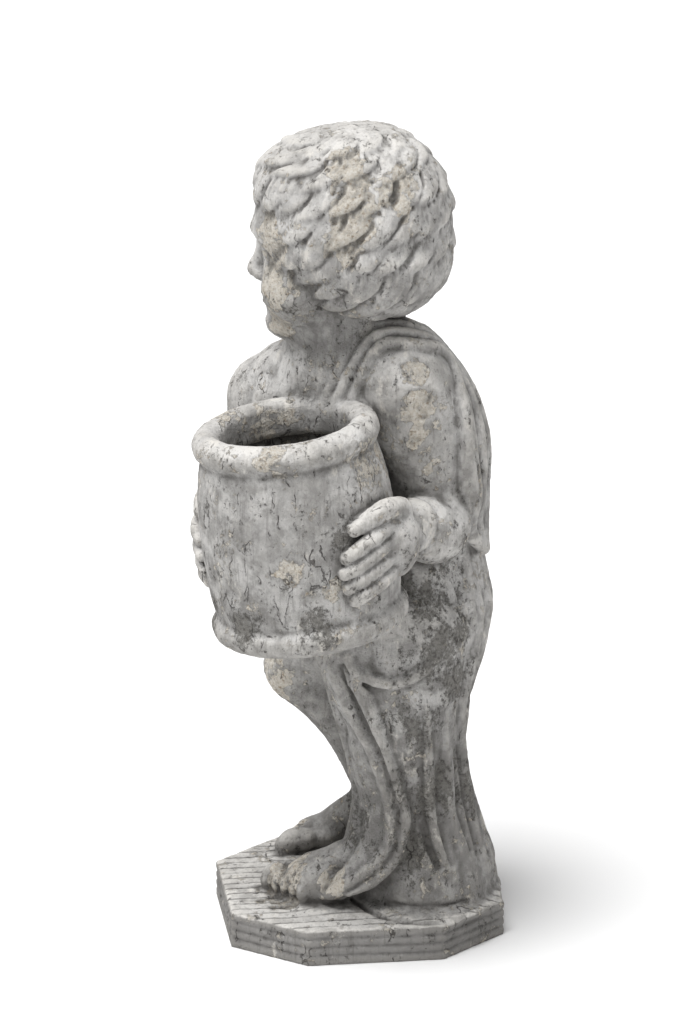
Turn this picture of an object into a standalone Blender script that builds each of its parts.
# Garden statue of a standing cherub who holds a round pot, carved with its plinth from one stone.
# Metres, +Z up. The plinth's front faces -Y, and the figure's left hand is at +X.
# The origin is the middle of the plinth's underside.

from math import cos, pi, radians, sin

import bmesh
import bpy
from mathutils import Euler, Matrix, Vector

# Plinth: a square block with its four corners cut off.
PLINTH_WIDTH = 0.268
PLINTH_DEPTH = 0.278
PLINTH_HEIGHT = 0.036
CORNER_CUT_X = 0.060
CORNER_CUT_Y = 0.070
COURSES = 4
COURSE_GROOVE = 0.0022

# Figure: its pose and carving are drawn in parts, of which the whole figure has 804.
FIGURE_HEIGHT = 0.804
PART = FIGURE_HEIGHT / 804
HEAD_TURN = -17
CHEST_TURN = 42
BELLY_TURN = 36
HIP_TURN = 15

# Pot: a round barrel body between two rolled rings, with a deep hollow.
POT_RADIUS = 0.0965
POT_HEIGHT = 0.215
POT_TILT = 7.5
RING_TUBE = 0.0150
FOOT_RING_RADIUS = 0.0825
RIM_TUBE = 0.0148
RIM_RING_RADIUS = 0.0775
POT_WALL = 0.023
POT_FLOOR = 0.042
THROAT = 0.022
HANDS_UP_POT = 0.54
POT_SEGMENTS = 42

# Hair, cloth and fingers.
HAIR_ROWS = 5
LOCKS_AT_CROWN = 6
LOCK_RADIUS = 9
SKIRT_FOLDS = 15
FINGER_RADIUS = 7.6

# Fineness of the carved surface.
CLAY_GRID = 0.0040
SMOOTH_PASSES = 3
CARVED_TRIANGLES = 6000

STONE_COLOUR = (0.47, 0.455, 0.43, 1.0)


def clear_scene():
    for old in list(bpy.data.objects):
        bpy.data.objects.remove(old)


def collection(name):
    made = bpy.data.collections.new(name)
    bpy.context.scene.collection.children.link(made)
    return made


def stone():
    material = bpy.data.materials.new("weathered stone")
    material.use_nodes = True
    shader = material.node_tree.nodes["Principled BSDF"]
    shader.inputs["Base Color"].default_value = STONE_COLOUR
    shader.inputs["Roughness"].default_value = 0.9
    shader.inputs["Metallic"].default_value = 0.0
    return material


def facing(turn, forward=0.0, left=0.0, up=0.0):
    """A step in the frame of a body part that is turned from the plinth's front towards the figure's left."""
    angle = radians(turn)
    ahead = Vector((sin(angle), -cos(angle), 0))
    aside = Vector((cos(angle), sin(angle), 0))
    return ahead * forward + aside * left + Vector((0, 0, up))


def at(x, y, z):
    """A place on the figure, from its parts: z counts from the top of the plinth."""
    return Vector((x, y, z)) * PART + Vector((0, 0, PLINTH_HEIGHT))


def smooth_path(points, steps=4):
    """Points along one smooth curve through the given points, with a radius carried along as a fourth number."""
    ends = [2 * points[0] - points[1], *points, 2 * points[-1] - points[-2]]
    path = []
    for before, start, end, after in zip(ends, ends[1:], ends[2:], ends[3:]):
        for step in range(steps):
            t = step / steps
            blend = (
                2 * start
                + (end - before) * t
                + (2 * before - 5 * start + 4 * end - after) * t * t
                + (3 * start - before - 3 * end + after) * t * t * t
            )
            path.append(blend / 2)
    return [*path, points[-1]]


class Clay:
    """Gathers the overlapping masses of the figure, which are fused into one surface at the end."""

    def __init__(self):
        self.mesh = bmesh.new()
        self.sphere = bpy.data.meshes.new("unit ball")
        round_mesh = bmesh.new()
        bmesh.ops.create_uvsphere(round_mesh, u_segments=24, v_segments=16, radius=1)
        round_mesh.to_mesh(self.sphere)
        round_mesh.free()

    def ball(self, centre, radii, turn=0, lean=0, roll=0):
        """An egg-shaped mass: half sizes across, front to back and upwards, all in parts."""
        size = Matrix.Diagonal((*(Vector(radii) * PART), 1))
        spin = Euler((radians(lean), radians(roll), radians(turn)), "XYZ").to_matrix().to_4x4()
        egg = self.sphere.copy()
        egg.transform(Matrix.Translation(centre) @ spin @ size)
        self.mesh.from_mesh(egg)
        bpy.data.meshes.remove(egg)

    def limb(self, places, radii, steps=4):
        """A round tapering mass along a smooth line, with round ends. The radii are in parts."""
        through = [Vector((*place, radius * PART)) for place, radius in zip(places, radii)]
        path = smooth_path(through, steps)
        line = bpy.data.curves.new("limb", "CURVE")
        line.dimensions = "3D"
        line.bevel_depth = 1
        line.bevel_resolution = 4
        line.use_fill_caps = True
        spline = line.splines.new("POLY")
        spline.points.add(len(path) - 1)
        for point, place in zip(spline.points, path):
            point.co = (*place[:3], 1)
            point.radius = place[3]
        guide = bpy.data.objects.new("limb", line)
        bpy.context.scene.collection.objects.link(guide)
        tube = bpy.data.meshes.new_from_object(guide.evaluated_get(bpy.context.evaluated_depsgraph_get()))
        bpy.data.objects.remove(guide)
        self.mesh.from_mesh(tube)
        bpy.data.meshes.remove(tube)
        for end in (path[0], path[-1]):
            self.ball(end.to_3d(), [end[3] / PART] * 3)

    def loft(self, rings):
        """A closed mass through a row of rings with the same number of points."""
        rows = [[self.mesh.verts.new(point) for point in ring] for ring in rings]
        for low, high in zip(rows, rows[1:]):
            for i in range(len(low)):
                j = (i + 1) % len(low)
                self.mesh.faces.new((low[i], low[j], high[j], high[i]))
        self.mesh.faces.new(rows[0][::-1])
        self.mesh.faces.new(rows[-1])


def head_place(forward, left, up):
    """A place on the head, in parts from the middle of the skull."""
    return at(2, -7, 701) + facing(HEAD_TURN, forward, left, up) * PART


def add_head(clay):
    clay.ball(head_place(0, 0, 0), (91, 95, 93), HEAD_TURN)
    clay.ball(head_place(-14, 0, -34), (92, 82, 66), HEAD_TURN)
    # Face: forehead, jaw, cheeks, chin, eyelids, nose and lips.
    clay.ball(head_place(52, 0, -4), (66, 44, 40), HEAD_TURN)
    clay.ball(head_place(36, 0, -50), (61, 53, 66), HEAD_TURN)
    clay.ball(head_place(70, 0, -99), (23, 19, 17), HEAD_TURN)
    for side in (-1, 1):
        clay.ball(head_place(58, side * 33, -62), (29, 29, 31), HEAD_TURN)
        clay.ball(head_place(82, side * 23, -26), (17, 13, 8), HEAD_TURN)
        clay.ball(head_place(83, side * 23, -8), (21, 12, 5), HEAD_TURN)
        clay.ball(head_place(93, side * 8, -54), (6, 8, 6), HEAD_TURN)
    clay.limb([head_place(89, 0, -22), head_place(98, 0, -50)], [7, 9])
    clay.ball(head_place(89, 0, -73), (17, 8, 5), HEAD_TURN)
    clay.ball(head_place(86, 0, -83), (14, 8, 6), HEAD_TURN)
    # Neck.
    clay.limb([at(-12, -13, 545), at(-9, -8, 590), at(-3, -4, 640)], [56, 51, 50])


def lock_path(crown_angle, start, length, bend):
    """A lock of hair on the skull: it starts some way down from the crown and curves sideways as it falls."""
    path = []
    for i in range(5):
        t = i / 4
        down = radians(start + length * t)
        around = radians(crown_angle + bend * sin(1.5 * pi * t))
        spread = sin(down) if down < pi / 2 else sin(down) ** 0.6
        deep = 96 if sin(around) > 0 else 101
        path.append(head_place(-spread * sin(around) * deep - 3, spread * cos(around) * 95, cos(down) * 95))
    return path


def add_hair(clay):
    """Rows of wavy locks that fall from the crown to the nape, and leave the face free below the fringe."""
    for row in range(HAIR_ROWS):
        start = 10 + row * 23
        count = LOCKS_AT_CROWN + 4 * row
        for i in range(count):
            around = 360 * (i + 0.5 * (row % 2)) / count
            front = cos(radians(around + 90))
            if front > 1 - 0.38 * max(0, row - 1):
                continue
            bend = (12 if (i + row) % 2 else -9) + 30 / (row + 2)
            length = 36 if row < 4 else 28
            lock = lock_path(around, start, length, bend * 0.7)
            clay.limb(lock, [4, LOCK_RADIUS, LOCK_RADIUS + 1, LOCK_RADIUS - 1, 3], 2)


def pot_turn():
    """The pot's own frame: its foot's middle, tipped forward with its axis up the figure's front."""
    belly = at(-10, 42, 321)
    reach = 65 * PART + POT_RADIUS
    foot = belly + facing(CHEST_TURN, reach) + Vector((0, 19, -12)) * PART
    return Matrix.Translation(foot) @ Matrix.Rotation(radians(POT_TILT), 4, "X")


def pot_outer():
    """The outer profile, from the underside's middle to the rim's crest, as radius and height."""
    ring = [
        (FOOT_RING_RADIUS + RING_TUBE * cos(a), RING_TUBE + RING_TUBE * sin(a))
        for a in (radians(angle) for angle in range(-90, 46, 27))
    ]
    low, high = 2 * RING_TUBE, POT_HEIGHT - 2 * RIM_TUBE
    bulge = []
    for step in range(9):
        t = step / 8
        swell = 1 - abs(2 * t - 0.86) ** 2.4 * 0.074
        bulge.append((POT_RADIUS * swell, low + (high - low) * t))
    middle = POT_HEIGHT - RIM_TUBE
    rim = [
        (RIM_RING_RADIUS + RIM_TUBE * cos(a), middle + RIM_TUBE * sin(a))
        for a in (radians(angle) for angle in range(-60, 91, 25))
    ]
    return [(0, 0), *ring, *bulge, *rim]


def pot_inner():
    """The hollow's profile, from above the mouth to the middle of its floor."""
    mouth = RIM_RING_RADIUS - RIM_TUBE
    shoulder = POT_HEIGHT - 2 * RIM_TUBE
    floor = POT_FLOOR
    wide = POT_RADIUS - POT_WALL
    wall = [(mouth + RIM_TUBE * (1 - cos(a)), POT_HEIGHT - RIM_TUBE * (1 - sin(a))) for a in (1.3, 0.8, 0.3)]
    bowl = [(wide * cos(a), floor + (wide * 0.9) * (1 - sin(a))) for a in (radians(d) for d in range(0, 90, 15))]
    above = (RIM_RING_RADIUS, POT_HEIGHT + RIM_TUBE)
    return [(0, above[1]), above, *wall, (mouth, shoulder), (wide * 0.97, shoulder - THROAT), *bowl, (0, floor)]


def turned(name, profile, frame, home):
    """A closed shape turned round its own axis, from a profile that starts and ends on the axis."""
    line = bpy.data.meshes.new(name)
    line.from_pydata([(r, 0, z) for r, z in profile], [(i, i + 1) for i in range(len(profile) - 1)], [])
    made = bpy.data.objects.new(name, line)
    home.objects.link(made)
    made.matrix_world = frame
    screw = made.modifiers.new("turn", "SCREW")
    screw.steps = screw.render_steps = POT_SEGMENTS
    screw.use_merge_vertices = True
    screw.merge_threshold = 0.0001
    return made


def pot_radius_at(height):
    """The barrel's radius at a height, by running along its outer profile."""
    profile = pot_outer()
    for (r0, z0), (r1, z1) in zip(profile, profile[1:]):
        if z0 <= height <= z1 and z1 > z0:
            return r0 + (r1 - r0) * (height - z0) / (z1 - z0)
    return POT_RADIUS


def on_pot(angle, height, lift):
    """A place on the barrel: the angle runs from the pot's front towards the figure's left, the lift is in parts."""
    reach = pot_radius_at(height) + lift * PART
    around = facing(CHEST_TURN + angle, reach)
    return pot_turn() @ Vector((around.x, around.y, height))


def add_hand(clay, side, knuckle, tip, top):
    """A hand laid on the barrel: side is 1 for the figure's left, and the angles run round the pot."""
    wrist_angle = knuckle + 34
    middle = top - 26 * PART
    back = on_pot(side * (knuckle + 10), middle, 8)
    clay.ball(back, (20, 28, 33), CHEST_TURN + side * (knuckle + 10) + 90)
    for finger in range(4):
        drop = finger * 14.8 * PART
        short = (2, 0, 1, 5)[finger]
        clay.limb(
            [
                on_pot(side * (knuckle + 4), top - 2 * PART - drop, 9),
                on_pot(side * (knuckle + tip) / 2, top - 9 * PART - drop, 10),
                on_pot(side * (tip + short), top - 19 * PART - drop, 4),
            ],
            [FINGER_RADIUS + 1.2, FINGER_RADIUS + 0.4, FINGER_RADIUS - 1],
        )
    thumb = [
        on_pot(side * (knuckle + 12), top + 12 * PART, 9),
        on_pot(side * (knuckle - 6), top + 16 * PART, 10),
        on_pot(side * (tip + 4), top + 9 * PART, 4),
    ]
    clay.limb(thumb, [12, FINGER_RADIUS + 2, FINGER_RADIUS])
    return on_pot(side * wrist_angle, middle + 2 * PART, 15)


def add_arms(clay):
    top = HANDS_UP_POT * POT_HEIGHT
    left_wrist = add_hand(clay, 1, 97, 67, top)
    right_wrist = add_hand(clay, -1, 88, 60, top)
    left_shoulder = at(54, 42, 536)
    left_elbow = at(46, 73, 420)
    clay.limb([left_shoulder, at(52, 58, 478), left_elbow], [43, 42, 35])
    clay.limb([left_elbow, at(78, 62, 398), left_wrist], [35, 33, 26])
    right_shoulder = at(-80, -80, 496)
    right_elbow = at(-100, -72, 398)
    clay.limb([right_shoulder, at(-93, -80, 448), right_elbow], [41, 39, 34])
    clay.limb([right_elbow, at(-60, -88, 392), right_wrist], [34, 31, 26])


def add_torso(clay):
    clay.ball(at(-13, -16, 494), (94, 60, 78), CHEST_TURN, 8, -12)
    clay.ball(at(2, 34, 496), (80, 62, 84), CHEST_TURN)
    clay.ball(at(-8, 30, 405), (82, 66, 90), BELLY_TURN)
    clay.ball(at(-14, 48, 305), (90, 70, 74), HIP_TURN)
    clay.limb([at(0, 10, 560), at(40, 34, 556)], [36, 38])
    clay.limb([at(-16, -22, 548), at(-58, -62, 520)], [34, 36])


def add_right_leg(clay):
    """The bare leg: the knee is bent forward and the heel is lifted."""
    knee = at(-96, -48, 200)
    clay.limb([at(-62, 42, 292), at(-80, 6, 246), knee], [62, 52, 34])
    ankle = at(-97, 31, 66)
    clay.limb([knee, at(-96, 6, 140), ankle], [32, 33, 22])
    clay.limb([at(-96, 16, 156), at(-96, 24, 118)], [27, 24])
    ball = at(-108, -28, 13)
    clay.limb([at(-96, 44, 36), at(-97, 32, 50), ball], [20, 21, 15])
    clay.ball(ball, (29, 25, 14), -8)
    add_toes(clay, at(-108, -46, 8), -8, 50)


def add_left_leg(clay):
    """The standing leg, hidden in the skirt but for the front of its foot."""
    clay.limb([at(45, 45, 290), at(50, 34, 170), at(50, 36, 60)], [60, 50, 34])
    clay.limb([at(52, 52, 26), at(46, 10, 38), at(38, -46, 20)], [26, 31, 24])
    clay.ball(at(38, -46, 20), (38, 34, 22), 4)
    add_toes(clay, at(37, -76, 10), 4, 66)


def add_toes(clay, middle, turn, width):
    """Five short toes in a row, the big one on the inner side of either foot."""
    inner = -1 if middle.x > 0 else 1
    for toe in range(5):
        across = inner * (width / 2 - width * toe / 4) * 0.86
        radius = 11 - 1.4 * toe
        root = middle + facing(turn, 0 - 3 * toe, across, 4) * PART
        end = middle + facing(turn, 18 - 5.5 * toe, across, -1) * PART
        clay.limb([root, end], [radius + 1.5, radius])


def skirt_ring(x, y, across, along, z, depth, twist):
    """One level of the skirt: an oval with rounded folds all round."""
    ring = []
    count = 96
    for i in range(count):
        angle = 2 * pi * i / count
        fold = cos(SKIRT_FOLDS * angle + twist) + 0.45 * cos((SKIRT_FOLDS - 6) * angle - twist)
        swell = 1 + depth * fold
        ring.append(at(x + across * swell * cos(angle), y + along * swell * sin(angle), z))
    return ring


def add_skirt(clay):
    """The cloth round the hips and the standing leg, which spreads over the plinth behind."""
    levels = [
        (-8, 34, 66, 54, 425, 0.000, 0.0),
        (-8, 40, 82, 70, 392, 0.006, 0.1),
        (-10, 46, 92, 78, 352, 0.012, 0.2),
        (-8, 50, 99, 84, 300, 0.020, 0.5),
        (-6, 47, 98, 79, 258, 0.030, 0.8),
        (2, 48, 90, 60, 205, 0.042, 1.1),
        (4, 52, 85, 49, 155, 0.048, 1.5),
        (4, 56, 85, 54, 98, 0.050, 1.9),
        (4, 60, 90, 65, 56, 0.044, 2.2),
        (2, 62, 96, 76, 26, 0.034, 2.4),
        (2, 60, 101, 80, 4, 0.020, 2.5),
        (2, 60, 101, 80, -8, 0.020, 2.5),
    ]
    clay.loft([skirt_ring(*level) for level in levels][::-1])
    # Hem over the standing foot, and the long edge that falls between the legs.
    clay.limb([at(70, 20, 120), at(80, -2, 62), at(76, -36, 20)], [22, 22, 12])
    edge = [at(-6, -44, 258), at(22, -28, 210), at(38, -10, 148), at(46, 2, 92), at(48, -6, 44)]
    clay.limb(edge, [7, 9, 8, 8, 9])
    clay.limb([place + Vector((0.014, 0.020, 0)) for place in edge], [9, 10, 9, 9, 10])
    clay.limb([place + Vector((0.020, 0.044, 0)) for place in edge], [9, 11, 10, 9, 10])


def cape_section(place, across, through, turn, ridges):
    """One cut through the cape: a flat oval with rounded ridges on it, square to the way it runs."""
    ring = []
    count = 28
    for i in range(count):
        angle = 2 * pi * i / count
        wave = 1 + 0.22 * cos(ridges * pi * cos(angle)) if sin(angle) > 0 else 1.0
        left = across * cos(angle)
        out = through * sin(angle) * wave
        ring.append(place + turn @ Vector((left, out, 0)) * PART)
    return ring


def add_cape(clay):
    """The cloth that crosses the chest, passes over the left shoulder and hangs down the back."""
    aside = facing(CHEST_TURN, 0, 1, 0)
    stops = [
        # place, half width, half thickness, direction of the cloth's outer side
        (at(42, -46, 430), 22, 11, facing(CHEST_TURN, 1, 0.15, 0)),
        (at(32, -38, 480), 20, 12, facing(CHEST_TURN, 1, 0.2, 0.15)),
        (at(22, -18, 537), 20, 13, facing(CHEST_TURN, 0.9, 0.1, 0.6)),
        (at(22, 14, 582), 23, 14, facing(CHEST_TURN, 0.3, 0.15, 1)),
        (at(20, 58, 580), 40, 14, facing(CHEST_TURN, -0.6, 0.1, 1)),
        (at(8, 71, 548), 58, 14, facing(CHEST_TURN, -1, 0.05, 0.4)),
        (at(0, 73, 486), 70, 14, facing(CHEST_TURN, -1, 0, 0.1)),
        (at(0, 84, 420), 64, 14, facing(CHEST_TURN, -1, 0, 0)),
        (at(12, 104, 385), 40, 14, facing(CHEST_TURN, -1, 0, 0)),
        (at(22, 118, 366), 14, 11, facing(CHEST_TURN, -1, 0, 0)),
    ]
    rings = []
    for place, across, through, out in stops:
        out = out.normalized()
        side = (aside - out * aside.dot(out)).normalized()
        turn = Matrix((side, out, side.cross(out))).transposed()
        rings.append(cape_section(place, across, through, turn, 2.5))
    clay.loft(rings[::-1])


def plinth(name, home):
    """The plinth as one outline, stacked in courses with a shallow groove between them."""
    made = bpy.data.meshes.new(name)
    mesh = bmesh.new()
    rise = PLINTH_HEIGHT / COURSES
    rows = []
    for course in range(COURSES):
        low, high = course * rise, (course + 1) * rise
        inset = COURSE_GROOVE
        bottom = 0 if course == 0 else inset
        top = 0 if course == COURSES - 1 else inset
        rows += [(low, bottom), (low + inset * 0.8, 0), (high - inset * 0.8, 0), (high, top)]
    rows = [rows[0]] + [row for before, row in zip(rows, rows[1:]) if row[0] - before[0] > 1e-6]
    rings = []
    for height, inset in rows:
        x, y = PLINTH_WIDTH / 2 - inset, PLINTH_DEPTH / 2 - inset
        cx, cy = CORNER_CUT_X, CORNER_CUT_Y
        outline = [(x, cy - y), (x, y - cy), (x - cx, y), (cx - x, y), (-x, y - cy), (-x, cy - y), (cx - x, -y), (x - cx, -y)]
        rings.append([mesh.verts.new((*corner, height)) for corner in outline])
    for low, high in zip(rings, rings[1:]):
        for i in range(8):
            j = (i + 1) % 8
            mesh.faces.new((low[i], low[j], high[j], high[i]))
    mesh.faces.new(rings[0][::-1])
    mesh.faces.new(rings[-1])
    mesh.to_mesh(made)
    mesh.free()
    block = bpy.data.objects.new(name, made)
    home.objects.link(block)
    return block


def helper(made):
    made.hide_render = True
    made.display_type = "WIRE"
    return made


def combine(body, other, operation):
    step = body.modifiers.new(operation.lower(), "BOOLEAN")
    step.object = other
    step.operation = operation


def carve(name, clay, home):
    """Fuses the masses into one smooth skin with few enough faces."""
    mesh = bpy.data.meshes.new(name)
    bmesh.ops.recalc_face_normals(clay.mesh, faces=clay.mesh.faces)
    clay.mesh.to_mesh(mesh)
    clay.mesh.free()
    made = bpy.data.objects.new(name, mesh)
    home.objects.link(made)
    skin = made.modifiers.new("skin", "REMESH")
    skin.mode = "VOXEL"
    skin.voxel_size = CLAY_GRID
    soften = made.modifiers.new("soften", "SMOOTH")
    soften.iterations = SMOOTH_PASSES
    bpy.context.view_layer.update()
    fused = made.evaluated_get(bpy.context.evaluated_depsgraph_get())
    triangles = sum(len(face.vertices) - 2 for face in fused.data.polygons)
    thin = made.modifiers.new("thin", "DECIMATE")
    thin.ratio = min(1.0, CARVED_TRIANGLES / triangles)
    return made


def main():
    clear_scene()
    statue = collection("cherub statue")
    helpers = collection("shapes to join and cut")
    clay = Clay()
    add_head(clay)
    add_hair(clay)
    add_torso(clay)
    add_arms(clay)
    add_right_leg(clay)
    add_left_leg(clay)
    add_skirt(clay)
    add_cape(clay)
    body = carve("cherub_statue", clay, statue)
    block = helper(plinth("plinth block", helpers))
    pot = helper(turned("pot body", pot_outer() + [(0, POT_HEIGHT)], pot_turn(), helpers))
    hollow = helper(turned("pot hollow", pot_inner(), pot_turn(), helpers))
    combine(body, block, "UNION")
    combine(body, pot, "UNION")
    combine(body, hollow, "DIFFERENCE")
    body.data.materials.append(stone())


main()
